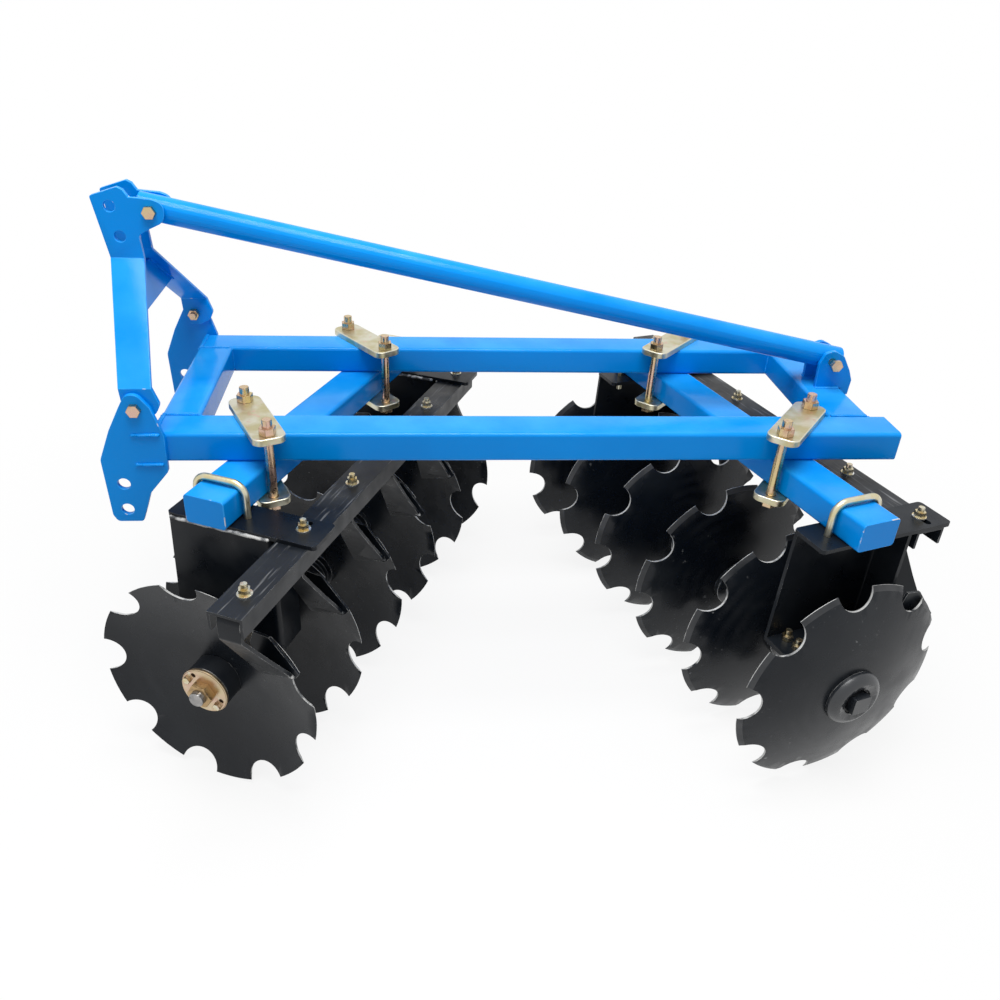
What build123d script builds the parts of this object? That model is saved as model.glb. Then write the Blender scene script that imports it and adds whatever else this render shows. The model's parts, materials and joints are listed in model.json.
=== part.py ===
from build123d import *
import math
import os

# Offset disc harrow for a tractor's three-point hitch.
# Millimetres, +X rearward, +Y to the machine's far side, +Z up, floor at z = 0.
# Every piece is made where it stands, and the finished harrow is then moved so that
# the origin is the middle of its footprint.

# Discs and gangs
DISC_RADIUS = 280.0
DISC_THICK = 5.0
DISC_SPHERE = 850.0
DISC_FLAT = 66.0
DISC_COUNT = 6
DISC_SPACING = 230.0
NOTCH_COUNT = 9
NOTCH_RADIUS = 47.0
NOTCH_DEPTH = 47.0
BEVEL_RUN = 12.0
BEVEL_LEFT = 1.5
FRONT_GANG_SETBACK = 339.0
REAR_GANG_INSET = 320.0
GANG_SIDE_SHIFT = -20.5
FRONT_GANG_ANGLE = 23.5
REAR_GANG_ANGLE = 17.5
FRONT_PHASES = (98, 118, 90, 108, 86, 105)
REAR_PHASES = (111, 93, 108, 109, 107, 96)
AXLE_SQUARE = 32.0
AXLE_PLAY = 0.5
RUNNING_GAP = 0.3

# Spools, bearings and hubs on the gang bolt
SPOOL_TUBE_RADIUS = 38.0
SPOOL_FLANGE_RADIUS = 60.0
SPOOL_FLANGE = 16.0
SPOOL_CONE = 10.0
SPOOL_RIB_RADIUS = 54.0
SPOOL_RIB = 7.0
SPOOL_RIB_PITCH = 14.0
SPOOL_RIBS = 3
RIB_DRAFT = 2.0
JOURNAL_RADIUS = 42.0
BEARING_RADIUS = 60.0
BEARING_LENGTH = 84.0
BEARING_LIP = 8.0
BEARING_CHAMFER = 8.0
BEARING_OFFSET = 153.0
FOOT_WIDTH = 236.0
FOOT_THICK = 18.0
FOOT_DEPTH = 74.0
FOOT_CORNER = 12.0
NECK_INSET = 10.0
FOOT_BOLT_GAP = 194.0
FOOT_BOLT = 15.0
FOOT_BOLT_PLAY = 1.0
FOOT_BOLT_FLATS = 24.0
FOOT_BOLT_HEAD = 10.0
FOOT_BOLT_NUT = 13.0
FOOT_BOLT_TAIL = 15.0
HUB_RADIUS = 59.0
HUB_LENGTH = 49.0
LOCK_RADIUS = 60.0
LOCK_THICK = 8.0
LOCK_EDGE = 2.0
LOCK_HOLE = 11.0
LOCK_PITCH = 46.0
LOCK_BOLTS = (150.0, 315.0)
LOCK_SPARES = (120.0, 341.0)
LOCK_BOLT_FLATS = 17.0
LOCK_BOLT_HEAD = 8.0
NUT_FLATS = 55.0
NUT_HEIGHT = 20.0
NUT_CROWN = 4.0
SHAFT_END_RADIUS = 18.0
SHAFT_END = 14.0
SHAFT_CHAMFER = 3.0
SHAFT_PLAY = 0.3
DOME_RADIUS = 72.0
DOME_THICK = 26.0
DOME_RIM = 8.0
DOME_CROWN_RADIUS = 52.0
DOME_RECESS = 13.0
DOME_MOUTH_RADIUS = 36.0
HEAD_SQUARE = 46.0
HEAD_LENGTH = 24.0
HEAD_CORNER = 5.0

# Main frame
BEAM_LENGTH = 1730.0
BEAM_WIDTH = 99.0
BEAM_HEIGHT = 72.0
BEAM_WALL = 6.0
BEAM_CORNER = 9.0
FRAME_WIDTH = 611.0
FRONT_CROSS_WIDTH = 90.0
REAR_CROSS_WIDTH = 100.0
REAR_CROSS_INSET = 35.0

# Gang beams: where each starts and ends along its gang, from the hollow side's first rim
GANG_BEAM_WIDTH = 100.0
GANG_BEAM_HEIGHT = 70.0
GANG_BEAM_SPANS = {"front": (88.0, 1116.0), "rear": (100.0, 1150.0)}
GANG_BEAM_OFFSET = -10.0

# Legs under the gang beams: a web with one folded flange between two plates
LEG_PLATE_THICK = 10.0
LEG_PLATE_DEPTH = 96.0
LEG_PLATE_FRONT = -124.0
LEG_PLATE_REAR = 243.0
LEG_PLATE_CORNER = 10.0
LEG_FRONT = -118.0
LEG_REAR = 138.0
LEG_SPREAD = 12.0
LEG_FLANGE_INSET = 8.0
LEG_WALL = 9.0
LEG_BEND = 15.0
LEG_HEIGHT = 297.0
LEG_FOOT_THICK = 12.0
FOOT_TO_AXLE = 65.0

# U-bolts that hold the legs to the gang beams
UBOLT_ROD = 16.0
UBOLT_BEND = 30.0
UBOLT_SLACK = 0.2
UBOLT_PLAY = 1.0
UBOLT_TAIL = 34.0
UBOLT_NUT = 14.0
UBOLT_FLATS = 24.0

# Clamps between the frame and the gang beams: frame side, turn of the plate, and how far
# its middle lies from where the two beams' middles cross
CLAMP_WIDTH = 76.0
CLAMP_SPAN = 186.0
CLAMP_END = 26.0
CLAMP_CORNER = 22.0
CLAMP_THICK = 16.0
CLAMP_EDGE = 1.5
CLAMP_BOLT = 22.0
CLAMP_PLAY = 1.0
CLAMP_FLATS = 34.0
CLAMP_HEAD = 14.0
CLAMP_NUT = 18.0
CLAMP_TAIL = 18.0
FRONT_CLAMPS = (("near", 24.0, -2.0, 4.0), ("far", 35.5, 3.0, -11.0))
REAR_CLAMPS = (("near", -39.0, 13.0, -11.0), ("far", -42.0, 8.0, -7.0))

# Scraper beams, and scrapers in rows of x from the beam's middle, z from its web's underside
CHANNEL_WIDTH = 78.0
CHANNEL_DEPTH = 45.0
CHANNEL_WALL = 6.0
CHANNEL_FRONT = 148.0
CHANNEL_START = -143.0
CHANNEL_END = 1119.0
ARM_FRONT = -19.0
ARM_REAR = 32.0
ARM_THICK = 8.0
ARM_BEND = 14.0
ARM_BOLT_SETBACK = 72.0
ARM_HEEL = 71.0
ARM_TOE = 29.0
ARM_DROP = 55.0
ARM_LEAN = 34.2
TONGUE_EDGE = ((-50.0, -286.0), (49.0, -246.0), (51.0, -238.0), (39.0, -155.0))
BLADE_THICK = 6.0
BLADE_GAP = 5.5
BLADE_OUTLINE = ((-37.0, -147.0), (1.0, -152.0), (66.0, -232.0), (58.0, -244.0),
                 (49.0, -250.0), (-22.0, -250.0), (-47.0, -177.0))
SCRAPER_BOLT = 14.0
SCRAPER_PLAY = 1.0
SCRAPER_FLATS = 22.0
SCRAPER_HEAD = 9.0
SCRAPER_NUT = 12.0
SCRAPER_TAIL = 11.0
SCRAPER_WASHER = 3.0
SCRAPER_WASHER_RADIUS = 16.0
SLOT_LENGTH = 46.0
SLOT_SHIFT = 10.0

# Hitch plates, mast and strut: rows of x, z and corner radius. They count from the frame's
# front top edge, the lug rows from the mast's pin, and the strut's rear from the rear top edge.
PLATE = 12.0
HITCH_HOLE = 28.5
HITCH_HOLES = ((-73.0, -122.0), (-75.0, -189.0))
HITCH_OUTLINE = ((-85.0, 13.0, 0.0), (-115.0, -60.0, 30.0), (-112.0, -162.0, 0.0),
                 (-111.0, -204.0, 12.0), (-102.0, -222.0, 12.0), (-44.0, -222.0, 8.0),
                 (-30.0, -184.0, 0.0), (-17.0, -146.0, 0.0), (30.0, -90.0, 16.0), (32.0, -2.0, 0.0))
HITCH_LUG = ((33.0, 4.0, 0.0), (7.0, 38.0, 24.0), (-18.0, 32.0, 20.0), (-34.0, 4.0, 0.0))
MAST_PIN = (-22.0, 64.0)
MAST_GAP = 62.0
TOP_HOLE = 25.7
TOP_HOLES = ((-92.0, 432.0), (-79.0, 365.0))
STRUT_TOP = (-6.0, 420.0)
STRUT_REAR = (-75.0, 72.0)
STRUT_RADIUS = 30.0
STRUT_WALL = 5.0
STRUT_OVERRUN = 34.0
STRUT_HEAD_STAND = 20.0
LOWER_BEND = (-18.0, 108.0, 70.0)
UPPER_BEND = (-70.5, 316.0, 75.0)
HEAD_OUTLINE = ((-132.0, 454.0, 6.0), (-70.0, 474.0, 6.0), (-58.0, 468.0, 0.0), (-48.0, 452.0, 0.0),
                (1.0, 448.0, 0.0), (28.0, 438.0, 22.0), (23.0, 398.0, 26.0), (-11.0, 382.0, 0.0),
                (-37.0, 368.0, 12.0))
FOOT_OUTLINE = ((-28.0, -4.0, 14.0), (-14.0, -30.0, 14.0), (14.0, -30.0, 0.0),
                (42.0, -16.0, 20.0), (52.0, 6.0, 12.0))
LUG_OUTLINE = ((-32.0, -6.0, 20.0), (-21.0, 22.0, 14.0), (0.0, 30.0, 20.0), (29.0, 16.0, 20.0),
               (53.0, -24.0, 20.0), (64.0, -50.0, 10.0), (62.0, -90.0, 0.0))
LUG_WIDTH = 29.0
LUG_TAIL = 26.0
BRACE_THICK = 10.0
BRACE_LOW = 200.0
BRACE_HIGH = 280.0
MAST_BOLT = 18.0
MAST_PLAY = 1.0
MAST_FLATS = 27.0
MAST_HEAD = 12.0
MAST_NUT = 15.0
MAST_TAIL = 9.0

beam_to_axle = LEG_PLATE_THICK + LEG_HEIGHT + LEG_FOOT_THICK + FOOT_TO_AXLE
frame_top = DISC_RADIUS + beam_to_axle + GANG_BEAM_HEIGHT + BEAM_HEIGHT
frame_under = frame_top - BEAM_HEIGHT
gang_under = frame_under - GANG_BEAM_HEIGHT
axle_z = DISC_RADIUS
mid_y = FRAME_WIDTH / 2
disc_dish = (math.sqrt(DISC_SPHERE**2 - DISC_FLAT**2)
             - math.sqrt(DISC_SPHERE**2 - DISC_RADIUS**2))
row_length = (DISC_COUNT - 1) * DISC_SPACING
front_gang_mid = (FRONT_GANG_SETBACK - BEAM_LENGTH, mid_y + GANG_SIDE_SHIFT)
rear_gang_mid = (-REAR_GANG_INSET, mid_y + GANG_SIDE_SHIFT)
foot_x = (LEG_FRONT + LEG_REAR) / 2
channel_x = CHANNEL_FRONT + CHANNEL_WIDTH / 2
bearing_rows = (0, DISC_COUNT - 2)
ubolt_play = ((UBOLT_BEND - UBOLT_ROD / 2 - BEAM_CORNER) * (1 - math.sqrt(0.5))
              + UBOLT_SLACK)
nodes = {}


def box(x0, x1, y0, y1, z0, z1):
    """A block between two corners."""
    centre = ((x0 + x1) / 2, (y0 + y1) / 2, (z0 + z1) / 2)
    return Pos(*centre) * Box(x1 - x0, y1 - y0, z1 - z0)


def rod_y(x, z, y0, y1, radius):
    """A round bar along Y."""
    return Pos(x, (y0 + y1) / 2, z) * Rot(90, 0, 0) * Cylinder(radius, y1 - y0)


def rod_z(x, y, z0, z1, radius):
    """A round bar along Z."""
    return Pos(x, y, (z0 + z1) / 2) * Cylinder(radius, z1 - z0)


def hex_z(x, y, z0, z1, flats):
    """A hexagon nut or bolt head with its axis along Z."""
    prism = extrude(RegularPolygon(flats / 2, 6, major_radius=False), z1 - z0)
    return Pos(x, y, z0) * prism


def hex_y(x, z, y0, y1, flats):
    """A hexagon nut or bolt head with its axis along Y."""
    prism = extrude(RegularPolygon(flats / 2, 6, major_radius=False), y1 - y0)
    return Pos(x, y1, z) * Rot(90, 0, 0) * prism


def outline_face(rows):
    """A flat face from rows of x, z and corner radius; a radius of 0 leaves the corner sharp."""
    face = make_face(Polyline(*[(x, z) for x, z, _ in rows], close=True))
    for x, z, radius in rows:
        if radius:
            face = fillet(face.vertices().sort_by_distance((x, z, 0))[0], radius)
    return face


def plate_xz(rows, y0, y1, holes=()):
    """A flat plate between two distances along Y; holes holds rows of x, z, diameter."""
    face = outline_face(rows)
    for x, z, diameter in holes:
        face -= Pos(x, z) * Circle(diameter / 2)
    return Pos(0, y1, 0) * Rot(90, 0, 0) * extrude(face, y1 - y0)


def square_tube(length, width, height, closed_ends=False):
    """A rectangular tube along X from x = 0, its top at z = 0, centred on Y."""
    outer = RectangleRounded(height, width, BEAM_CORNER)
    inner = RectangleRounded(height - 2 * BEAM_WALL, width - 2 * BEAM_WALL, BEAM_CORNER / 2)
    inset = BEAM_WALL if closed_ends else 0
    solid = extrude(outer, length) - Pos(0, 0, inset) * extrude(inner, length - 2 * inset)
    return Pos(0, 0, -height / 2) * Rot(0, 90, 0) * solid


# Gangs

def front_gang(shape):
    """Places a piece made in the gang's own axes: X rearward, Y along the discs, Z up."""
    place = Pos(*front_gang_mid, 0) * Rot(0, 0, -FRONT_GANG_ANGLE) * Pos(0, -row_length / 2, 0)
    return place * shape


def rear_gang(shape):
    """The rear gang is the front one's mirror image, and throws the soil back."""
    place = Pos(*rear_gang_mid, 0) * Rot(0, 0, REAR_GANG_ANGLE) * Pos(0, row_length / 2, 0)
    return place * mirror(shape, about=Plane.XZ)


def disc_surface(radius):
    """How far the hollow face lies behind the rim's plane at a radius."""
    return math.sqrt(DISC_SPHERE**2 - radius**2) - math.sqrt(DISC_SPHERE**2 - DISC_RADIUS**2)


def make_disc(phase):
    """A dished disc with a flat middle, its hollow side towards -Y, notched round its rim."""
    half_way = (DISC_FLAT + DISC_RADIUS) / 2
    rim_back = DISC_RADIUS - BEVEL_RUN
    hollow = [(DISC_FLAT, disc_dish), (half_way, disc_surface(half_way)), (DISC_RADIUS, 0)]
    back = [(rim_back, disc_surface(rim_back) + DISC_THICK),
            (half_way, disc_surface(half_way) + DISC_THICK), (DISC_FLAT, disc_dish + DISC_THICK)]
    profile = (Polyline((0, disc_dish + DISC_THICK), (0, disc_dish), hollow[0])
               + ThreePointArc(*hollow)
               + Polyline(hollow[-1], (DISC_RADIUS, BEVEL_LEFT), back[0])
               + ThreePointArc(*back)
               + Line(back[-1], (0, disc_dish + DISC_THICK)))
    disc = revolve(make_face(profile), Axis.Y)
    reach = DISC_RADIUS + NOTCH_RADIUS - NOTCH_DEPTH
    for i in range(NOTCH_COUNT):
        angle = math.radians(phase + i * 360 / NOTCH_COUNT)
        disc -= rod_y(reach * math.cos(angle), reach * math.sin(angle),
                      -disc_dish, 2 * disc_dish, NOTCH_RADIUS)
    return Pos(0, 0, axle_z) * disc - axle_hole(-disc_dish, 2 * disc_dish)


def turned(points):
    """A turned piece about the gang's axis from rows of radius, distance along Y."""
    face = Plane.XY * make_face(Polyline(*points, close=True))
    return Pos(0, 0, axle_z) * revolve(face, Axis.Y)


def axle_hole(start, end):
    """The square hole through all that the gang bolt holds."""
    side = AXLE_SQUARE + 2 * AXLE_PLAY
    return box(-side / 2, side / 2, start, end, axle_z - side / 2, axle_z + side / 2)


def make_spool(index):
    """A cast spacer between two discs; under a leg it carries the bearing's journal."""
    start = disc_dish + DISC_THICK + index * DISC_SPACING
    end = disc_dish + (index + 1) * DISC_SPACING
    carries = index in bearing_rows
    points = [(0, start), (SPOOL_FLANGE_RADIUS, start),
              (SPOOL_FLANGE_RADIUS, start + SPOOL_FLANGE),
              (SPOOL_TUBE_RADIUS, start + SPOOL_FLANGE + SPOOL_CONE)]
    if carries:
        seat = BEARING_OFFSET + index * DISC_SPACING
        half = BEARING_LENGTH / 2 + BEARING_LIP
        points += [(SPOOL_TUBE_RADIUS, seat - half), (JOURNAL_RADIUS, seat - half),
                   (JOURNAL_RADIUS, seat + half), (SPOOL_TUBE_RADIUS, seat + half)]
    ribs_start = end - SPOOL_FLANGE - SPOOL_RIBS * SPOOL_RIB_PITCH
    for i in range(SPOOL_RIBS):
        near = ribs_start + i * SPOOL_RIB_PITCH
        points += [(SPOOL_TUBE_RADIUS, near), (SPOOL_RIB_RADIUS, near + RIB_DRAFT),
                   (SPOOL_RIB_RADIUS, near + SPOOL_RIB - RIB_DRAFT),
                   (SPOOL_TUBE_RADIUS, near + SPOOL_RIB)]
    points += [(SPOOL_TUBE_RADIUS, end - SPOOL_FLANGE), (SPOOL_FLANGE_RADIUS, end - SPOOL_FLANGE),
               (SPOOL_FLANGE_RADIUS, end), (0, end)]
    return turned(points) - axle_hole(start - 1, end + 1)


def foot_bolt_spots(seat):
    """Where the four bolts stand that join a leg's foot and its bearing housing."""
    return [(foot_x + side * FOOT_BOLT_GAP / 2, seat + shift * FOOT_DEPTH / 4)
            for side in (-1, 1) for shift in (-1, 1)]


def make_bearing(index):
    """The bearing housing: a short drum round the journal, on a foot bolted under the leg."""
    seat = BEARING_OFFSET + index * DISC_SPACING
    half = BEARING_LENGTH / 2
    bore = JOURNAL_RADIUS + RUNNING_GAP
    shoulder = BEARING_RADIUS - BEARING_CHAMFER
    drum = turned([(bore, seat - half), (shoulder, seat - half),
                   (BEARING_RADIUS, seat - half + BEARING_CHAMFER),
                   (BEARING_RADIUS, seat + half - BEARING_CHAMFER),
                   (shoulder, seat + half), (bore, seat + half)])
    foot_top = gang_under - LEG_PLATE_THICK - LEG_HEIGHT - LEG_FOOT_THICK
    foot = box(foot_x - FOOT_WIDTH / 2, foot_x + FOOT_WIDTH / 2,
               seat - FOOT_DEPTH / 2, seat + FOOT_DEPTH / 2, foot_top - FOOT_THICK, foot_top)
    foot = fillet(foot.edges().filter_by(Axis.Z), FOOT_CORNER)
    neck_half = FOOT_DEPTH / 2 - NECK_INSET
    neck = box(-BEARING_RADIUS, BEARING_RADIUS, seat - neck_half, seat + neck_half,
               axle_z, foot_top - FOOT_THICK / 2)
    solid = foot + (neck - rod_y(0, axle_z, seat - half, seat + half, bore)) + drum
    for x, y in foot_bolt_spots(seat):
        solid -= rod_z(x, y, foot_top - 2 * FOOT_THICK, foot_top + 1,
                       (FOOT_BOLT + FOOT_BOLT_PLAY) / 2)
    return solid


def make_hub():
    """The end cylinder on the hollow side of the first disc."""
    start = disc_dish - HUB_LENGTH
    body = turned([(0, start), (HUB_RADIUS, start), (HUB_RADIUS, disc_dish), (0, disc_dish)])
    return body - axle_hole(start - 1, disc_dish + 1)


hub_face = disc_dish - HUB_LENGTH
lock_face = hub_face - LOCK_THICK
nut_face = lock_face - NUT_HEIGHT
shaft_tip = nut_face - SHAFT_END
row_end = disc_dish + DISC_THICK + row_length
dome_face = row_end + DOME_THICK


def on_lock_circle(degrees):
    angle = math.radians(degrees)
    return LOCK_PITCH * math.cos(angle), axle_z + LOCK_PITCH * math.sin(angle)


def make_lock_plate():
    """The round plate that locks the gang bolt's nut, with two bolts and two spare holes."""
    plate = turned([(0, lock_face), (LOCK_RADIUS - LOCK_EDGE, lock_face),
                    (LOCK_RADIUS, lock_face + LOCK_EDGE), (LOCK_RADIUS, hub_face), (0, hub_face)])
    for degrees in LOCK_SPARES:
        plate -= rod_y(*on_lock_circle(degrees), lock_face - 1, hub_face + 1, LOCK_HOLE / 2)
    for degrees in LOCK_BOLTS:
        plate += hex_y(*on_lock_circle(degrees), lock_face - LOCK_BOLT_HEAD, lock_face,
                       LOCK_BOLT_FLATS)
    return plate - rod_y(0, axle_z, lock_face - 1, hub_face + 1, SHAFT_END_RADIUS + SHAFT_PLAY)


def make_gang_nut():
    """The large nut at the threaded end of the gang bolt, its outer corners turned off."""
    nut = hex_y(0, axle_z, nut_face, lock_face, NUT_FLATS)
    flank = NUT_FLATS / 2
    crown = turned([(0, nut_face - 1), (flank, nut_face - 1), (flank + 2 * NUT_CROWN, nut_face + NUT_CROWN),
                    (flank + 2 * NUT_CROWN, lock_face + 1), (0, lock_face + 1)])
    return (nut & crown) - rod_y(0, axle_z, nut_face - 2, lock_face + 2,
                                 SHAFT_END_RADIUS + SHAFT_PLAY)


def make_gang_bolt():
    """The square bolt through the whole gang, threaded at one end, headed at the other."""
    half = AXLE_SQUARE / 2
    bar = box(-half, half, hub_face, dome_face, axle_z - half, axle_z + half)
    thread = rod_y(0, axle_z, shaft_tip, hub_face, SHAFT_END_RADIUS)
    thread = chamfer(thread.faces().sort_by(Axis.Y)[0].edges(), SHAFT_CHAMFER)
    side = HEAD_SQUARE / 2
    head_start = dome_face - DOME_RECESS
    head = box(-side, side, head_start, head_start + HEAD_LENGTH, axle_z - side, axle_z + side)
    head = fillet(head.edges().filter_by(Axis.Y), HEAD_CORNER)
    return bar + thread + head


def make_dome():
    """The domed washer on the round side of the last disc, hollowed for the bolt's head."""
    floor = dome_face - DOME_RECESS
    crown_mid = (DOME_RADIUS + DOME_CROWN_RADIUS) / 2
    bulge = (DOME_THICK - DOME_RIM) * (1 - math.sqrt(0.5)) / 2
    profile = (Polyline((0, floor), (0, row_end), (DOME_RADIUS, row_end), (DOME_RADIUS, row_end + DOME_RIM))
               + ThreePointArc((DOME_RADIUS, row_end + DOME_RIM),
                               (crown_mid + bulge, row_end + (DOME_RIM + DOME_THICK) / 2 + bulge),
                               (DOME_CROWN_RADIUS, dome_face))
               + Polyline((DOME_CROWN_RADIUS, dome_face), (DOME_MOUTH_RADIUS, dome_face - DOME_RIM / 2),
                          (DOME_MOUTH_RADIUS, floor), (0, floor)))
    dome = Pos(0, 0, axle_z) * revolve(make_face(profile), Axis.Y)
    return dome - axle_hole(row_end - 1, floor + 1)


# Legs and scrapers in the gang's axes

def ubolt_sides():
    half = GANG_BEAM_WIDTH / 2 + UBOLT_ROD / 2 + ubolt_play
    return GANG_BEAM_OFFSET - half, GANG_BEAM_OFFSET + half


def make_leg(index):
    """A leg: a top plate under the gang beam, a web with one folded flange, a foot plate."""
    seat = BEARING_OFFSET + index * DISC_SPACING
    start = seat - LEG_PLATE_DEPTH / 2
    end = seat + LEG_PLATE_DEPTH / 2
    under = gang_under - LEG_PLATE_THICK
    bottom = under - LEG_HEIGHT
    plate = box(LEG_PLATE_FRONT, LEG_PLATE_REAR, start, end, under, gang_under)
    plate = fillet(plate.edges().filter_by(Axis.Z), LEG_PLATE_CORNER)
    toe = LEG_FRONT - LEG_SPREAD
    fold = box(toe, LEG_REAR, start, end - LEG_FLANGE_INSET, bottom, under)
    corner = fold.edges().filter_by(Axis.Z).sort_by_distance((LEG_REAR, start, bottom))[0]
    fold = fillet(corner, LEG_BEND)
    inner = box(toe - 1, LEG_REAR - LEG_WALL, start + LEG_WALL, end, bottom - 1, under + 1)
    corner = inner.edges().filter_by(Axis.Z).sort_by_distance((LEG_REAR, start, bottom))[0]
    inner = fillet(corner, LEG_BEND - LEG_WALL)
    slope = plate_xz([(toe, bottom, 0), (LEG_REAR, bottom, 0), (LEG_REAR, under, 0),
                      (LEG_FRONT, under, 0)], start, end)
    foot = box(toe, LEG_REAR, start, end - LEG_FLANGE_INSET, bottom - LEG_FOOT_THICK, bottom)
    solid = plate + ((fold - inner) & slope) + foot
    for x, y in foot_bolt_spots(seat):
        solid -= rod_z(x, y, bottom - LEG_FOOT_THICK - 1, bottom + 1,
                       (FOOT_BOLT + FOOT_BOLT_PLAY) / 2)
    for x in ubolt_sides():
        solid -= rod_z(x, seat, under - 1, gang_under + 1, UBOLT_ROD / 2 + UBOLT_PLAY)
    slot_y = (index + 1) * DISC_SPACING - ARM_BOLT_SETBACK + SLOT_SHIFT
    slot = extrude(SlotOverall(SLOT_LENGTH, SCRAPER_BOLT + 2 * SCRAPER_PLAY), LEG_PLATE_THICK + 2)
    return solid - Pos(channel_x, slot_y, under - 1) * Rot(0, 0, 90) * slot


def make_ubolt(index):
    """A bent rod over the gang beam, with nuts under the leg's top plate."""
    seat = BEARING_OFFSET + index * DISC_SPACING
    x0, x1 = ubolt_sides()
    high = frame_under + UBOLT_ROD / 2 + ubolt_play
    nut_top = gang_under - LEG_PLATE_THICK
    low = nut_top - UBOLT_TAIL
    path = FilletPolyline((x0, seat, low), (x0, seat, high), (x1, seat, high),
                          (x1, seat, low), radius=UBOLT_BEND)
    rod = sweep(Plane(origin=path @ 0, z_dir=path % 0) * Circle(UBOLT_ROD / 2), path)
    for x in (x0, x1):
        rod += hex_z(x, seat, nut_top - UBOLT_NUT, nut_top, UBOLT_FLATS)
    return rod


def make_foot_bolts(index):
    """The bolts that hold a bearing housing under its leg."""
    seat = BEARING_OFFSET + index * DISC_SPACING
    top = gang_under - LEG_PLATE_THICK - LEG_HEIGHT
    low = top - LEG_FOOT_THICK - FOOT_THICK
    bolts = []
    for x, y in foot_bolt_spots(seat):
        bolt = rod_z(x, y, low - FOOT_BOLT_HEAD, top + FOOT_BOLT_NUT + FOOT_BOLT_TAIL, FOOT_BOLT / 2)
        bolt += hex_z(x, y, low - FOOT_BOLT_HEAD, low, FOOT_BOLT_FLATS)
        bolt += hex_z(x, y, top, top + FOOT_BOLT_NUT, FOOT_BOLT_FLATS)
        bolts.append(bolt)
    return bolts


def make_channel():
    """The scraper beam: a channel with its web on top, bolted under the legs' top plates."""
    top = gang_under - LEG_PLATE_THICK
    outside = box(CHANNEL_FRONT, CHANNEL_FRONT + CHANNEL_WIDTH, CHANNEL_START, CHANNEL_END,
                  top - CHANNEL_DEPTH, top)
    inside = box(CHANNEL_FRONT + CHANNEL_WALL, CHANNEL_FRONT + CHANNEL_WIDTH - CHANNEL_WALL,
                 CHANNEL_START - 1, CHANNEL_END + 1, top - CHANNEL_DEPTH - 1, top - CHANNEL_WALL)
    channel = outside - inside
    for i in range(DISC_COUNT):
        channel -= rod_z(channel_x, i * DISC_SPACING - ARM_BOLT_SETBACK, top - CHANNEL_WALL - 1,
                         top + 1, SCRAPER_BOLT / 2 + SCRAPER_PLAY)
    return channel


def make_scraper(index):
    """A flat bar bent twice, from its bolt in the scraper beam down into the disc's hollow,
    its end cut to the dish, with a blade welded on beside the rim."""
    rim = index * DISC_SPACING
    bolt_y = rim - ARM_BOLT_SETBACK
    top = gang_under - LEG_PLATE_THICK - CHANNEL_WALL
    heel = bolt_y - ARM_HEEL
    lean = math.radians(ARM_LEAN)
    knee = ARM_THICK * math.tan(lean / 2)
    reach = -TONGUE_EDGE[0][1] - ARM_DROP
    tip = (heel + reach * math.tan(lean), top + TONGUE_EDGE[0][1])
    side = Polyline((bolt_y + ARM_TOE, top), (heel, top), (heel, top - ARM_DROP), tip,
                    (tip[0] + ARM_THICK / math.cos(lean), tip[1]),
                    (heel + ARM_THICK, top - ARM_DROP + knee),
                    (heel + ARM_THICK, top - ARM_THICK), (bolt_y + ARM_TOE, top - ARM_THICK), close=True)
    face = make_face(side)
    for y, z, radius in ((heel, top, ARM_BEND), (heel + ARM_THICK, top - ARM_THICK, ARM_BEND - ARM_THICK),
                         (heel, top - ARM_DROP, ARM_BEND),
                         (heel + ARM_THICK, top - ARM_DROP + knee, ARM_BEND + ARM_THICK)):
        face = fillet(face.vertices().sort_by_distance((y, z, 0))[0], radius)
    width = 4 * (ARM_REAR - ARM_FRONT)
    bar = Pos(channel_x, 0, 0) * extrude(Plane.YZ * face, width / 2, both=True)
    front = [(ARM_FRONT, 1), (ARM_FRONT, -ARM_DROP), *TONGUE_EDGE, (ARM_REAR, -ARM_DROP), (ARM_REAR, 1)]
    front = plate_xz([(channel_x + x, top + z, 0) for x, z in front], heel - 1, rim + disc_dish)
    arm = bar & front
    arm -= rod_z(channel_x, bolt_y, top - ARM_THICK - 1, top + 1, SCRAPER_BOLT / 2 + SCRAPER_PLAY)
    blade = plate_xz([(channel_x + x, top + z, 0) for x, z in BLADE_OUTLINE],
                     rim - BLADE_GAP - BLADE_THICK, rim - BLADE_GAP)
    return arm + blade


def make_scraper_bolts():
    """The bolts along the scraper beam; two of them also go through the legs' slots."""
    web_top = gang_under - LEG_PLATE_THICK
    low = web_top - CHANNEL_WALL - ARM_THICK
    bolts = []
    for i in range(DISC_COUNT):
        y = i * DISC_SPACING - ARM_BOLT_SETBACK
        top = gang_under if i - 1 in bearing_rows else web_top
        nut = top + SCRAPER_WASHER
        bolt = rod_z(channel_x, y, low - SCRAPER_HEAD, nut + SCRAPER_NUT + SCRAPER_TAIL, SCRAPER_BOLT / 2)
        bolt += hex_z(channel_x, y, low - SCRAPER_HEAD, low, SCRAPER_FLATS)
        bolt += rod_z(channel_x, y, top, nut, SCRAPER_WASHER_RADIUS)
        bolt += hex_z(channel_x, y, nut, nut + SCRAPER_NUT, SCRAPER_FLATS)
        bolts.append(bolt)
    return bolts


def make_gang_beam(start, end):
    """The rectangular tube over the gang, with welded ends."""
    tube = square_tube(end - start, GANG_BEAM_WIDTH, GANG_BEAM_HEIGHT, closed_ends=True)
    return Pos(GANG_BEAM_OFFSET, start, frame_under) * Rot(0, 0, 90) * tube


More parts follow.
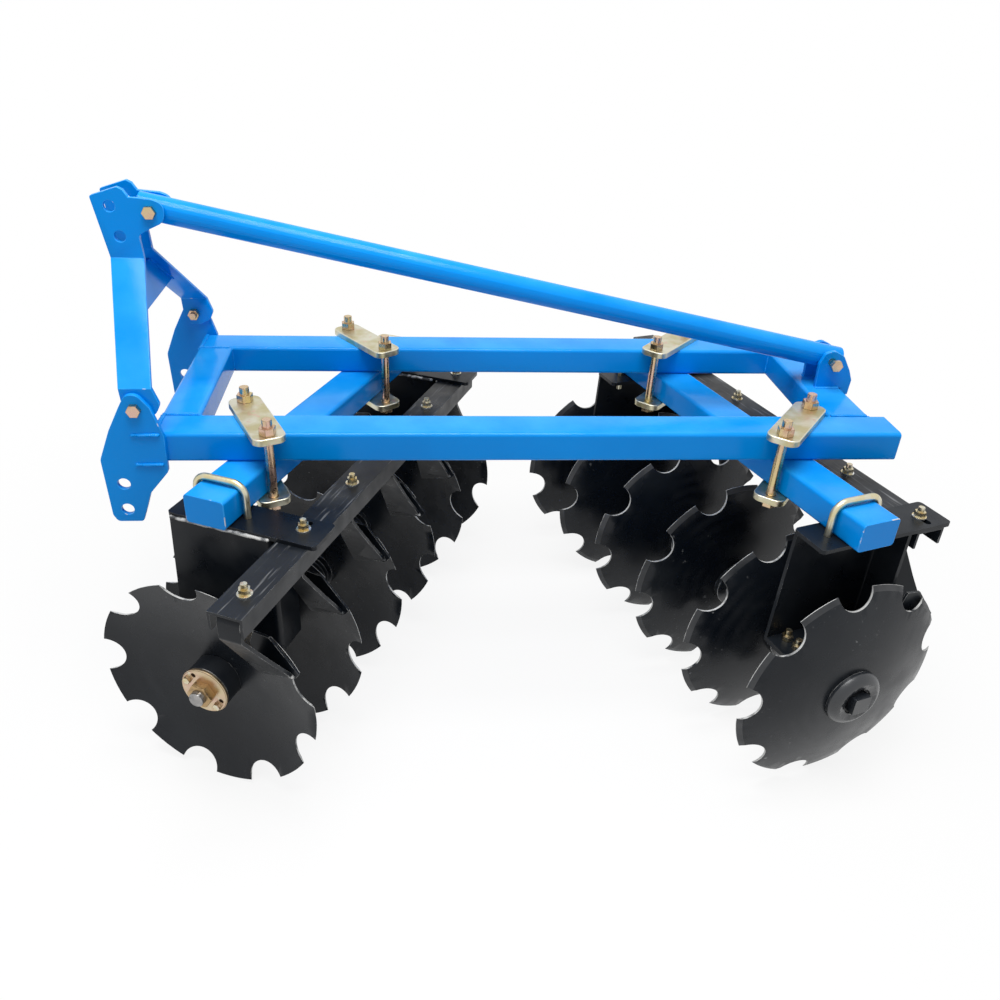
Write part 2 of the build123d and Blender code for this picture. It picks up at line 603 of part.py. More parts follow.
gang_axes = {"front": front_gang, "rear": rear_gang}
fixings = {"bearing_bolts": [], "u_bolts": [], "scraper_bolts": [],
           "clamp_plates": [], "clamp_bolts": []}
for gang, place in gang_axes.items():
    phases = FRONT_PHASES if gang == "front" else REAR_PHASES
    discs = []
    for i in range(DISC_COUNT):
        discs.append(place(Pos(0, i * DISC_SPACING, 0) * make_disc(phases[i])))
    nodes[f"discs_{gang}"] = discs
    nodes[f"spools_{gang}"] = [place(make_spool(i)) for i in range(DISC_COUNT - 1)]
    nodes[f"gang_bolt_{gang}"] = [place(make_gang_bolt())]
    nodes[f"end_hub_{gang}"] = [place(make_hub())]
    nodes[f"lock_plate_{gang}"] = [place(make_lock_plate())]
    nodes[f"gang_nut_{gang}"] = [place(make_gang_nut())]
    nodes[f"dome_washer_{gang}"] = [place(make_dome())]
    nodes[f"gang_beam_{gang}"] = [place(make_gang_beam(*GANG_BEAM_SPANS[gang]))]
    nodes[f"bearings_{gang}"] = [place(make_bearing(i)) for i in bearing_rows]
    for i in bearing_rows:
        fixings["bearing_bolts"] += [place(bolt) for bolt in make_foot_bolts(i)]
        fixings["u_bolts"].append(place(make_ubolt(i)))
    names = ("near", "far") if gang == "front" else ("far", "near")
    for i, side in zip(bearing_rows, names):
        nodes[f"leg_{gang}_{side}"] = [place(make_leg(i))]
    nodes[f"scraper_beam_{gang}"] = [place(make_channel())]
    nodes[f"scrapers_{gang}"] = [place(make_scraper(i)) for i in range(DISC_COUNT)]
    fixings["scraper_bolts"] += [place(bolt) for bolt in make_scraper_bolts()]

# Main frame

for side, y in (("near", BEAM_WIDTH / 2), ("far", FRAME_WIDTH - BEAM_WIDTH / 2)):
    tube = square_tube(BEAM_LENGTH, BEAM_WIDTH, BEAM_HEIGHT, closed_ends=True)
    nodes[f"frame_beam_{side}"] = [Pos(-BEAM_LENGTH, y, frame_top) * tube]

cross_length = FRAME_WIDTH - 2 * BEAM_WIDTH
cross_beams = (("front", -BEAM_LENGTH + FRONT_CROSS_WIDTH / 2, FRONT_CROSS_WIDTH),
               ("rear", -REAR_CROSS_INSET - REAR_CROSS_WIDTH / 2, REAR_CROSS_WIDTH))
for name, x, width in cross_beams:
    tube = square_tube(cross_length, width, BEAM_HEIGHT)
    nodes[f"cross_beam_{name}"] = [Pos(x, BEAM_WIDTH, frame_top) * Rot(0, 0, 90) * tube]


# Clamps

def clamp_place(gang_mid, gang_angle, frame_y, turn, shift_x, shift_y):
    """Near where a gang beam's centre line crosses a frame beam's, with the plate's turn."""
    lean = math.radians(gang_angle)
    x_axis = gang_mid[0] + GANG_BEAM_OFFSET * math.cos(lean)
    y_axis = gang_mid[1] - GANG_BEAM_OFFSET * math.sin(lean)
    x = x_axis + (frame_y - y_axis) * math.tan(lean)
    return Pos(x + shift_x, frame_y + shift_y, 0) * Rot(0, 0, turn)


def make_clamp_plate(z0):
    """A thick plate with two bolt holes and rounded corners."""
    outline = RectangleRounded(CLAMP_WIDTH, CLAMP_SPAN + 2 * CLAMP_END, CLAMP_CORNER)
    for side in (-1, 1):
        outline -= Pos(0, side * CLAMP_SPAN / 2) * Circle(CLAMP_BOLT / 2 + CLAMP_PLAY)
    plate = Pos(0, 0, z0) * extrude(outline, CLAMP_THICK)
    return chamfer(plate.faces().sort_by(Axis.Z)[-1].edges(), CLAMP_EDGE)


def make_clamp_bolts():
    """Two long bolts from under the lower plate to a nut over the upper one."""
    low = gang_under - CLAMP_THICK
    high = frame_top + CLAMP_THICK
    bolts = []
    for side in (-1, 1):
        y = side * CLAMP_SPAN / 2
        bolt = rod_z(0, y, low - CLAMP_HEAD, high + CLAMP_NUT + CLAMP_TAIL, CLAMP_BOLT / 2)
        bolt += hex_z(0, y, low - CLAMP_HEAD, low, CLAMP_FLATS)
        bolt += hex_z(0, y, high, high + CLAMP_NUT, CLAMP_FLATS)
        bolts.append(bolt)
    return bolts


frame_rows = {"near": BEAM_WIDTH / 2, "far": FRAME_WIDTH - BEAM_WIDTH / 2}
clamp_sets = (("front", front_gang_mid, FRONT_GANG_ANGLE, FRONT_CLAMPS),
              ("rear", rear_gang_mid, -REAR_GANG_ANGLE, REAR_CLAMPS))
for name, middle, angle, clamps in clamp_sets:
    for side, *setting in clamps:
        place = clamp_place(middle, angle, frame_rows[side], *setting)
        for z0 in (frame_top, gang_under - CLAMP_THICK):
            fixings["clamp_plates"].append(place * make_clamp_plate(z0))
        fixings["clamp_bolts"] += [place * bolt for bolt in make_clamp_bolts()]
nodes.update(fixings)

# Hitch plates, mast and strut

def from_front(*rows):
    """Rows that start with x, z counted from the frame's front top edge, brought to the floor."""
    return [(x - BEAM_LENGTH, z + frame_top, *more) for x, z, *more in rows]


def from_rear(*rows):
    """Rows that start with x, z counted from the frame's rear top edge, brought to the floor."""
    return [(x, z + frame_top, *more) for x, z, *more in rows]


def around(spot, rows):
    """Rows that start with x, z counted from a pin's middle."""
    return [(spot[0] + x, spot[1] + z, *more) for x, z, *more in rows]


pin_hole = MAST_BOLT + MAST_PLAY
mast_pin = from_front(MAST_PIN)[0]
strut_top = from_front(STRUT_TOP)[0]
strut_rear = from_rear(STRUT_REAR)[0]
hitch_outline = from_front(*HITCH_OUTLINE, *around(MAST_PIN, HITCH_LUG))


def make_hitch_plate(y0):
    """A plate on the outside of a frame beam, with two holes for the tractor's lower link."""
    holes = [(x, z, HITCH_HOLE) for x, z in from_front(*HITCH_HOLES)]
    holes.append((*mast_pin, pin_hole))
    return plate_xz(hitch_outline, y0, y0 + PLATE, holes)


nodes["hitch_plate_near"] = [make_hitch_plate(-PLATE)]
nodes["hitch_plate_far"] = [make_hitch_plate(FRAME_WIDTH)]

low_x, low_z, low_width = LOWER_BEND
high_x, high_z, high_width = UPPER_BEND
head_outline = from_front((high_x - high_width / 2, high_z, 0), *HEAD_OUTLINE,
                          (high_x + high_width / 2, high_z, 0))
foot_outline = from_front((low_x - low_width / 2, low_z, 0), *around(MAST_PIN, FOOT_OUTLINE),
                          (low_x + low_width / 2, low_z, 0))
mast_rise = (mid_y - MAST_GAP / 2 - PLATE) / (high_z - low_z)
mast_lean = (high_x - low_x) / (high_z - low_z)


def level_strip(x, z, width, y0, y1):
    """A flat rectangle at a height, counted from the frame's front top edge."""
    middle = from_front((x, z))[0]
    return Pos(middle[0], (y0 + y1) / 2, middle[1]) * Rectangle(width, y1 - y0)


def make_strap():
    """The near mast strap: a flat bar bent twice, from the lug at its foot to its head."""
    top_y = mid_y - MAST_GAP / 2
    holes = [(x, z, TOP_HOLE) for x, z in from_front(*TOP_HOLES)]
    holes.append((*strut_top, pin_hole))
    head = plate_xz(head_outline, top_y - PLATE, top_y, holes)
    foot = plate_xz(foot_outline, 0, PLATE, [(*mast_pin, pin_hole)])
    bar = loft([level_strip(low_x, low_z, low_width, 0, PLATE),
                level_strip(high_x, high_z, high_width, top_y - PLATE, top_y)])
    return foot + bar + head


near_strap = make_strap()
nodes["mast_strap_near"] = [near_strap]
nodes["mast_strap_far"] = [Pos(0, FRAME_WIDTH, 0) * mirror(near_strap, about=Plane.XZ)]

brace_strips = []
for z in (BRACE_LOW, BRACE_HIGH):
    inset = PLATE + (z - low_z) * mast_rise
    x = low_x + (z - low_z) * mast_lean
    brace_strips.append(level_strip(x, z, BRACE_THICK, inset, FRAME_WIDTH - inset))
nodes["mast_brace"] = [loft(brace_strips)]

run = strut_rear[0] - strut_top[0]
fall = strut_top[1] - strut_rear[1]
slope = math.degrees(math.atan2(fall, run))
strut_length = math.hypot(run, fall) + 2 * STRUT_OVERRUN
strut = Rot(0, 90, 0) * (Cylinder(STRUT_RADIUS, strut_length)
                         - Cylinder(STRUT_RADIUS - STRUT_WALL, strut_length - 2 * STRUT_WALL))
strut = Pos((strut_top[0] + strut_rear[0]) / 2, mid_y,
            (strut_top[1] + strut_rear[1]) / 2) * Rot(0, slope, 0) * strut
for x, z in (strut_top, strut_rear):
    strut -= rod_y(x, z, mid_y - 2 * STRUT_RADIUS, mid_y + 2 * STRUT_RADIUS, pin_hole / 2)
nodes["strut"] = [strut]

ear_x, ear_z = STRUT_REAR
lug_outline = from_rear((ear_x - LUG_WIDTH, 0, 0), *around(STRUT_REAR, LUG_OUTLINE),
                        (-REAR_CROSS_INSET, -LUG_TAIL, 0), (-REAR_CROSS_INSET, 0, 0))
lugs = []
for y0 in (mid_y - MAST_GAP / 2 - PLATE, mid_y + MAST_GAP / 2):
    lugs.append(plate_xz(lug_outline, y0, y0 + PLATE, [(*strut_rear, pin_hole)]))
nodes["strut_lugs"] = lugs


def cross_bolt(x, z, head_y, nut_y, stand=0):
    """A bolt along Y between the seats of its head and its nut; the head may stand off."""
    way = 1 if nut_y > head_y else -1
    under_head = head_y - way * stand
    nut_end = nut_y + way * MAST_NUT
    bolt = rod_y(x, z, *sorted((under_head, nut_end + way * MAST_TAIL)), MAST_BOLT / 2)
    bolt += hex_y(x, z, *sorted((under_head - way * MAST_HEAD, under_head)), MAST_FLATS)
    bolt += hex_y(x, z, *sorted((nut_y, nut_end)), MAST_FLATS)
    return bolt


outer = MAST_GAP / 2 + PLATE
nodes["mast_bolts"] = [cross_bolt(*strut_top, mid_y - outer, mid_y + outer),
                       cross_bolt(*strut_rear, mid_y - outer, mid_y + outer, STRUT_HEAD_STAND),
                       cross_bolt(*mast_pin, -PLATE, PLATE),
                       cross_bolt(*mast_pin, FRAME_WIDTH + PLATE, FRAME_WIDTH - PLATE)]

# The origin is the middle of the footprint, on the floor

boxes = [piece.bounding_box() for pieces in nodes.values() for piece in pieces]
low = [min(getattr(item.min, axis) for item in boxes) for axis in "XYZ"]
high = [max(getattr(item.max, axis) for item in boxes) for axis in "XYZ"]
shift = (-(low[0] + high[0]) / 2, -(low[1] + high[1]) / 2, -low[2])

os.makedirs("parts", exist_ok=True)
for name, pieces in nodes.items():
    moved = [Pos(*shift) * piece for piece in pieces]
    whole = moved[0] if len(moved) == 1 else Compound(children=moved)
    export_step(whole, f"parts/{name}.step")
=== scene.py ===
import bmesh
import bpy
import json
import math
from mathutils import Matrix, Vector


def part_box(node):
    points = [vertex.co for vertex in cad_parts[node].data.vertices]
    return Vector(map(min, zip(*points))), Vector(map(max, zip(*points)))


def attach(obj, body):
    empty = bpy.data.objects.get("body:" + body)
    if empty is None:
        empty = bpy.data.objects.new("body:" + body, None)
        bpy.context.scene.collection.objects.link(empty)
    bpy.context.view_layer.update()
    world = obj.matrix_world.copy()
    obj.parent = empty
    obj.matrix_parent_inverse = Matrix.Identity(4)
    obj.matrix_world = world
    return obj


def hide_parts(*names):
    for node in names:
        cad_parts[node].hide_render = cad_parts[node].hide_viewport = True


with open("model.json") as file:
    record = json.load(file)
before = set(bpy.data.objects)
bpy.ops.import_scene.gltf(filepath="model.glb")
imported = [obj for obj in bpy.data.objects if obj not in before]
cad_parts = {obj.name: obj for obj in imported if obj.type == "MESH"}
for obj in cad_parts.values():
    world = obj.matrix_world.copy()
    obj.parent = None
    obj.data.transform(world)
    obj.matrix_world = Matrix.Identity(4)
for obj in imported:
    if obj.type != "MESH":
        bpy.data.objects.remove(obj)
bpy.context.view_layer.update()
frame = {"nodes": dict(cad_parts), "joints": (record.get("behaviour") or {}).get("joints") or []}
bpy.ops.object.select_all(action="DESELECT")

# Camera
# It stands on the near side, a little ahead of the machine's middle and 1.7 metres above the
# floor, and looks down at 30 degrees. Its place is counted from the rear top corner of the
# near beam.

CAMERA_FROM_CORNER = (-1.1566, -1.7512, 0.9061)
CAMERA_TURN = (60.117, -1.933, -3.682)
PICTURE_SIDE = 1000
FOCAL_PIXELS = 869.65
AIM_PIXEL = (473.57, 473.18)

beam_low, beam_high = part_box("frame_beam_near")


def on_frame(x, y, z):
    """A place counted in metres from the rear top corner of the near beam: back, across, up."""
    return Vector((beam_high[0] + x, beam_low[1] + y, beam_high[2] + z))


bpy.ops.object.camera_add(location=on_frame(*CAMERA_FROM_CORNER),
                          rotation=[math.radians(turn) for turn in CAMERA_TURN])
camera = bpy.context.object
camera.data.lens = FOCAL_PIXELS / PICTURE_SIDE * camera.data.sensor_width
camera.data.shift_x = 0.5 - AIM_PIXEL[0] / PICTURE_SIDE
camera.data.shift_y = AIM_PIXEL[1] / PICTURE_SIDE - 0.5
bpy.context.scene.camera = camera
bpy.context.scene.view_settings.view_transform = "Standard"

# Floor and light
# A white studio floor that keeps a faint shadow near the machine, an even white surround and
# one soft lamp overhead, a little to the camera's side.

FLOOR_SIDE = 60.0
FLOOR_GREY = 0.88
FLOOR_ROUGHNESS = 0.9
SHADOW_REACH = (0.9, 2.4)
FLOOR_GLOW = (0.86, 1.0)
SURROUND_LIGHT = 0.42
LAMP_POWER = 160
LAMP_SIDE = 2.2
LAMP_PLACE = (-0.3, -0.9, 4.2)


def combined(tree, operation, first, second):
    """Two values put together, by MAXIMUM or MULTIPLY."""
    node = tree.nodes.new("ShaderNodeMath")
    node.operation = operation
    tree.links.new(first, node.inputs[0])
    tree.links.new(second, node.inputs[1])
    return node.outputs[0]


def spread(tree, value, low, high, least=0.0, most=1.0):
    """A value that runs from low to high, stretched to run from least to most."""
    node = tree.nodes.new("ShaderNodeMapRange")
    node.inputs["From Min"].default_value = low
    node.inputs["From Max"].default_value = high
    node.inputs["To Min"].default_value = least
    node.inputs["To Max"].default_value = most
    tree.links.new(value, node.inputs["Value"])
    return node.outputs["Result"]


def backdrop_factor(tree):
    """1 for what the camera and shiny surfaces see of the surround, 0 for what lights the part."""
    path = tree.nodes.new("ShaderNodeLightPath")
    seen = combined(tree, "MAXIMUM", path.outputs["Is Camera Ray"], path.outputs["Is Glossy Ray"])
    return combined(tree, "MAXIMUM", seen, path.outputs["Is Transmission Ray"])


def show_mixed(tree, factor, under, over, output):
    """The first shader where the factor is 0 and the second where it is 1, sent to an output."""
    blend = tree.nodes.new("ShaderNodeMixShader")
    tree.links.new(factor, blend.inputs[0])
    tree.links.new(under.outputs[0], blend.inputs[1])
    tree.links.new(over.outputs[0], blend.inputs[2])
    tree.links.new(blend.outputs[0], tree.nodes[output].inputs["Surface"])


bpy.ops.mesh.primitive_plane_add(size=FLOOR_SIDE, location=(0, 0, 0))
floor = bpy.context.object
floor.name = "studio_floor"
floor_paint = bpy.data.materials.new("white_floor")
floor_paint.use_nodes = True
tree = floor_paint.node_tree
matt = tree.nodes["Principled BSDF"]
matt.inputs["Base Color"].default_value = (FLOOR_GREY, FLOOR_GREY, FLOOR_GREY, 1)
matt.inputs["Roughness"].default_value = FLOOR_ROUGHNESS
away = tree.nodes.new("ShaderNodeVectorMath")
away.operation = "LENGTH"
tree.links.new(tree.nodes.new("ShaderNodeTexCoord").outputs["Object"], away.inputs[0])
fade = spread(tree, away.outputs["Value"], *SHADOW_REACH, *FLOOR_GLOW)
fade.node.interpolation_type = "SMOOTHSTEP"
share = combined(tree, "MULTIPLY", backdrop_factor(tree), fade)
show_mixed(tree, share, matt, tree.nodes.new("ShaderNodeEmission"), "Material Output")
floor.data.materials.append(floor_paint)

world = bpy.data.worlds.new("studio")
bpy.context.scene.world = world
world.use_nodes = True
tree = world.node_tree
soft = tree.nodes["Background"]
soft.inputs["Color"].default_value = (1, 1, 1, 1)
soft.inputs["Strength"].default_value = SURROUND_LIGHT
white = tree.nodes.new("ShaderNodeBackground")
white.inputs["Color"].default_value = (1, 1, 1, 1)
show_mixed(tree, backdrop_factor(tree), soft, white, "World Output")

bpy.ops.object.light_add(type="AREA", location=LAMP_PLACE)
overhead = bpy.context.object
overhead.data.energy = LAMP_POWER
overhead.data.size = LAMP_SIDE

# Long frame beams
# Two rectangular steel tubes with rolled corners and closed ends, sprayed gloss blue. The
# paint has a little orange peel. It is a lighter blue on sharp edges, partly thinner paint and
# partly a painted highlight, and a lighter blue on level tops, partly dusting and partly painted light.

MERGE_WITHIN = 0.00001
FLAT_WITHIN = math.radians(0.5)
SMOOTH_BELOW = math.radians(32)
SHARP_ABOVE = math.radians(40)
PAINT_EDGE = 0.0012
BLUE = (0.0, 0.262, 0.78)
DEEP_BLUE = (0.0, 0.235, 0.72)
# The lighter blue below is laid on level tops: partly dust, partly painted light.
DUST_AND_TOP_LIGHT_BLUE = (0.025, 0.34, 0.83)
# The lighter edge blue below is partly thinner paint and partly a painted highlight.
THIN_BLUE_AND_HIGHLIGHT = (0.03, 0.36, 0.90)
PRIMER = (0.62, 0.66, 0.70)
MIX_UNDER, MIX_OVER, MIX_RESULT = 6, 7, 2


def softened(node, edge, *finishes):
    """A copy of a node with its triangles merged and its sharp edges rounded over. Where there
    are two finishes, the second is the worn one of the rounded edges."""
    copy = bpy.data.objects.new(node + "_finished", frame["nodes"][node].data.copy())
    bpy.context.scene.collection.objects.link(copy)
    bpy.ops.object.select_all(action="DESELECT")
    copy.select_set(True)
    bpy.context.view_layer.objects.active = copy
    copy.data.materials.clear()
    for finish in finishes:
        copy.data.materials.append(finish)
    bpy.ops.object.mode_set(mode="EDIT")
    bpy.ops.mesh.select_all(action="SELECT")
    bpy.ops.mesh.remove_doubles(threshold=MERGE_WITHIN)
    bpy.ops.mesh.dissolve_limited(angle_limit=FLAT_WITHIN)
    bpy.ops.object.mode_set(mode="OBJECT")
    bpy.ops.object.shade_smooth_by_angle(angle=SMOOTH_BELOW)
    bpy.ops.object.modifier_add(type="BEVEL")
    bevel = copy.modifiers[-1]
    bevel.width = edge
    bevel.segments = 2
    bevel.limit_method = "ANGLE"
    bevel.angle_limit = SHARP_ABOVE
    bevel.harden_normals = True
    bevel.material = len(finishes) - 1
    bpy.ops.object.modifier_apply(modifier=bevel.name)
    return copy


def in_place_of(node, edge, body, slot, *finishes):
    """The finished form of a node, fastened to its body and shown instead of the node."""
    piece = softened(node, edge, *finishes)
    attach(piece, body)
    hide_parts(node)
    return piece


def new_finish(name, specular, metal=0.0):
    """A material with its node tree, its shader and the object's own coordinates."""
    finish = bpy.data.materials.new(name)
    finish.use_nodes = True
    tree = finish.node_tree
    shader = tree.nodes["Principled BSDF"]
    shader.inputs["Specular IOR Level"].default_value = specular
    shader.inputs["Metallic"].default_value = metal
    return finish, tree, shader, tree.nodes.new("ShaderNodeTexCoord").outputs["Object"]


def noise(tree, place, scale, detail, low, high, least=0.0, most=1.0):
    """A cloudy pattern, sharpened between low and high, that runs from least to most."""
    pattern = tree.nodes.new("ShaderNodeTexNoise")
    pattern.inputs["Scale"].default_value = scale
    pattern.inputs["Detail"].default_value = detail
    tree.links.new(place, pattern.inputs["Vector"])
    return spread(tree, pattern.outputs["Fac"], low, high, least, most)


def tinted(tree, factor, under, over):
    """One colour over another where the factor is 1; the lower one may be a pattern."""
    mix = tree.nodes.new("ShaderNodeMix")
    mix.data_type = "RGBA"
    tree.links.new(factor, mix.inputs["Factor"])
    if isinstance(under, tuple):
        mix.inputs[MIX_UNDER].default_value = (*under, 1)
    else:
        tree.links.new(under, mix.inputs[MIX_UNDER])
    mix.inputs[MIX_OVER].default_value = (*over, 1)
    return mix.outputs[MIX_RESULT]


def facing_up(tree, low, high):
    """1 on level surfaces that face up, falling to 0 on walls."""
    split = tree.nodes.new("ShaderNodeSeparateXYZ")
    tree.links.new(tree.nodes.new("ShaderNodeNewGeometry").outputs["Normal"], split.inputs[0])
    return spread(tree, split.outputs["Z"], low, high)


def dressed(tree, shader, colour, roughness):
    """A colour and a roughness given to the shader."""
    tree.links.new(colour, shader.inputs["Base Color"])
    tree.links.new(roughness, shader.inputs["Roughness"])


def grained(tree, shader, height, depth):
    """Relief of a given depth in metres from a pattern."""
    bump = tree.nodes.new("ShaderNodeBump")
    bump.inputs["Distance"].default_value = depth
    tree.links.new(height, bump.inputs["Height"])
    tree.links.new(bump.outputs["Normal"], shader.inputs["Normal"])


def make_blue_paint():
    """Gloss blue with soft clouds of tone, a lighter blue on level tops that is partly dusting and partly
    painted light, and orange peel.
    """
    finish, tree, shader, place = new_finish("blue_paint_sprayed", specular=0.13)
    clouds = noise(tree, place, scale=2.5, detail=5, low=0.4, high=0.65)
    specks = noise(tree, place, scale=9, detail=6, low=0.3, high=0.8)
    sheen = noise(tree, place, scale=14, detail=4, low=0.3, high=0.7, least=0.1, most=0.24)
    peel = noise(tree, place, scale=230, detail=2, low=0.2, high=0.8)
    # Level tops get the lighter blue: partly dust specks, partly painted light on the tops.
    dust_and_top_light = combined(tree, "MULTIPLY", facing_up(tree, low=0.3, high=0.95), specks)
    colour = tinted(tree, dust_and_top_light, tinted(tree, clouds, BLUE, DEEP_BLUE), DUST_AND_TOP_LIGHT_BLUE)
    dressed(tree, shader, colour, sheen)
    grained(tree, shader, peel, depth=0.0001)
    return finish


def make_blue_edge(name, low, high):
    """The same paint on an edge, lighter where the paint is thinner and as a painted highlight, rubbed to
    the primer in places.
    """
    finish, tree, shader, place = new_finish(name, specular=0.2)
    thinner_paint_and_highlight = noise(tree, place, scale=30, detail=4, low=0.35, high=0.6)
    rubbed = noise(tree, place, scale=42, detail=7, low=low, high=high)
    # The lighter edge blue is partly thinner paint and partly a painted highlight.
    colour = tinted(tree, rubbed, tinted(tree, thinner_paint_and_highlight, BLUE, THIN_BLUE_AND_HIGHLIGHT), PRIMER)
    dressed(tree, shader, colour, spread(tree, rubbed, 0, 1, least=0.25, most=0.6))
    return finish


blue_paint = make_blue_paint()
# Both edge finishes carry a painted highlight in lighter blue along the edges.
blue_edge = make_blue_edge("blue_edge_thin_highlit", low=0.66, high=0.69)
blue_highlit_scuffed = make_blue_edge("blue_edge_highlit_scuffed", low=0.55, high=0.59)
in_place_of("frame_beam_near", PAINT_EDGE, "frame", "blue_paint", blue_paint, blue_highlit_scuffed)
in_place_of("frame_beam_far", PAINT_EDGE, "frame", "blue_paint", blue_paint, blue_edge)

# Cross beams
# Two shorter tubes between the long ones. They are welded in before painting, along the top
# and down both sides of each end, so the beads stand out as rows of ripples under the blue.

BEAD_WIDTH = 0.012
BEAD_RISE = 0.003
RIPPLE_STEP = 0.0042
RIPPLE_LENGTH = 0.62
FEWEST_RIPPLES = 3
WOBBLE_SIZE = 0.02
WOBBLE_SHARE = 0.8
SEAM_INSET = 0.006


def weld_bead(name, start, end, width=BEAD_WIDTH, rise=BEAD_RISE):
    """A run of overlapping ripples along a seam, laid by the welder from start to end."""
    run = Vector(end) - Vector(start)
    count = max(FEWEST_RIPPLES, round(run.length / RIPPLE_STEP))
    bpy.ops.object.select_all(action="DESELECT")
    bpy.ops.mesh.primitive_uv_sphere_add(segments=10, ring_count=6, radius=width / 2, location=(0, 0, 0))
    bead = bpy.context.object
    bead.name = name
    bpy.ops.object.mode_set(mode="EDIT")
    bpy.ops.mesh.select_all(action="SELECT")
    bpy.ops.transform.resize(value=(RIPPLE_LENGTH, 1.0, 2 * rise / width))
    bpy.ops.object.mode_set(mode="OBJECT")
    bpy.ops.object.modifier_add(type="ARRAY")
    row = bead.modifiers[-1]
    row.count = count
    row.use_relative_offset = False
    row.use_constant_offset = True
    row.constant_offset_displace = (run.length / count, 0, 0)
    bpy.ops.object.modifier_apply(modifier=row.name)
    bpy.ops.object.modifier_add(type="DISPLACE")
    wobble = bead.modifiers[-1]
    wobble.texture = bpy.data.textures.new(name + "_wobble", "CLOUDS")
    wobble.texture.noise_scale = WOBBLE_SIZE
    wobble.strength = rise * WOBBLE_SHARE
    bpy.ops.object.modifier_apply(modifier=wobble.name)
    bead.rotation_euler = run.to_track_quat("X", "Z").to_euler()
    bead.location = start
    bpy.ops.object.transform_apply(location=True, rotation=True, scale=True)
    bpy.ops.object.shade_smooth()
    return bead


def joined(pieces, body, finish):
    """Like pieces made one, painted and fastened to their body."""
    bpy.ops.object.select_all(action="DESELECT")
    for piece in pieces:
        piece.select_set(True)
    bpy.context.view_layer.objects.active = pieces[0]
    if len(pieces) > 1:
        bpy.ops.object.join()
    whole = bpy.context.object
    whole.data.materials.clear()
    whole.data.materials.append(finish)
    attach(whole, body)


for end in ("front", "rear"):
    in_place_of("cross_beam_" + end, PAINT_EDGE, "frame", "blue_paint", blue_paint, blue_edge)
    low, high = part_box("cross_beam_" + end)
    beads = []
    for side, y in (("near", low[1]), ("far", high[1])):
        beads.append(weld_bead(f"beads_cross_{end}_{side}", (low[0] + SEAM_INSET, y, high[2]),
                               (high[0] - SEAM_INSET, y, high[2])))
        for x in (low[0], high[0]):
            beads.append(weld_bead(f"beads_cross_{end}_{side}", (x, y, high[2] - SEAM_INSET),
                                   (x, y, low[2] + SEAM_INSET)))
    joined(beads, "frame", blue_paint)

# Hitch plates
# Flame-cut plates on the outside of the frame with two holes each for the tractor's lower
# links. Beads run across the beams' front ends and along each plate at the beam's top and
# bottom.

HITCH_SEAM = (-1.765, -1.706)
HITCH_SEAM_TOP = 0.003
HITCH_SEAM_UNDER = 0.001
HITCH_PROUD = 0.012
BROAD_BEAD = {"width": 0.014, "rise": 0.004}
hitch_end = beam_low[0] + SEAM_INSET
beam_depth = beam_high[2] - beam_low[2]
far_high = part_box("frame_beam_far")[1]
for side, face in (("near", beam_low[1] - HITCH_PROUD), ("far", far_high[1] + HITCH_PROUD)):
    in_place_of("hitch_plate_" + side, PAINT_EDGE, "frame", "blue_paint", blue_paint, blue_edge)
    low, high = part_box("frame_beam_" + side)
    beads = [weld_bead("beads_hitch_" + side, (hitch_end, low[1] + SEAM_INSET, high[2]),
                       (hitch_end, high[1] - SEAM_INSET, high[2]))]
    for z in (HITCH_SEAM_TOP, HITCH_SEAM_UNDER - beam_depth):
        start, end = (on_frame(x, face - beam_low[1], z) for x in HITCH_SEAM)
        beads.append(weld_bead("beads_hitch_" + side, start, end, **BROAD_BEAD))
    joined(beads, "frame", blue_paint)

# Mast
# Two flat bars bent twice, with a plate welded between them where they draw together. Their
# heads carry the strut and the two holes for the tractor's top link.

BRACE_THICK = 0.010
BRACE_TAPER = 0.101
for node in ("mast_strap_near", "mast_strap_far", "mast_brace"):
    in_place_of(node, PAINT_EDGE, "frame", "blue_paint", blue_paint, blue_edge)
low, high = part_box("mast_brace")
beads = []
for foot, head in ((low[1], low[1] + BRACE_TAPER), (high[1], high[1] - BRACE_TAPER)):
    for skew in (0, BRACE_THICK):
        beads.append(weld_bead("beads_brace", (high[0] - BRACE_THICK + skew, foot, low[2]),
                               (low[0] + skew, head, high[2])))
joined(beads, "frame", blue_paint)

# Strut
# A round tube from the mast's head to two ears, which stand on the rear cross beam and are
# welded to it along both sides.

in_place_of("strut", PAINT_EDGE, "frame", "blue_paint", blue_paint, blue_edge)
in_place_of("strut_lugs", PAINT_EDGE, "frame", "blue_paint", blue_paint, blue_edge)
lug_low, lug_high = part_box("strut_lugs")
cross_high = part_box("cross_beam_rear")[1]
beads = []
for y in (lug_low[1], lug_high[1]):
    beads.append(weld_bead("beads_lugs", (lug_low[0] + SEAM_INSET, y, cross_high[2]),
                           (cross_high[0] - SEAM_INSET, y, cross_high[2]), **BROAD_BEAD))
joined(beads, "frame", blue_paint)

# Mast bolts
# One bolt through each foot of the mast, one through its head and one through the strut's
# ears. They are zinc with a pink and gold film, and the thread stands out past each nut.

BOLT_EDGE = 0.0009
ROSE_ZINC = (0.66, 0.44, 0.36)
GOLD_ZINC = (0.62, 0.50, 0.26)
COPPER_ZINC = (0.52, 0.30, 0.22)
PALE_ZINC = (0.66, 0.64, 0.52)
DARK_ZINC = (0.22, 0.16, 0.12)
DULL_ROSE = (0.26, 0.18, 0.12)
DULL_GOLD = (0.34, 0.25, 0.14)
ROUGHNESS_RANGE = 0.2
THREAD_RISE = 0.0006
THREAD_SIDES = 16
TIP_DEPTH = 0.0005
MAST_THREAD = {"length": 0.008, "pitch": 0.0022}


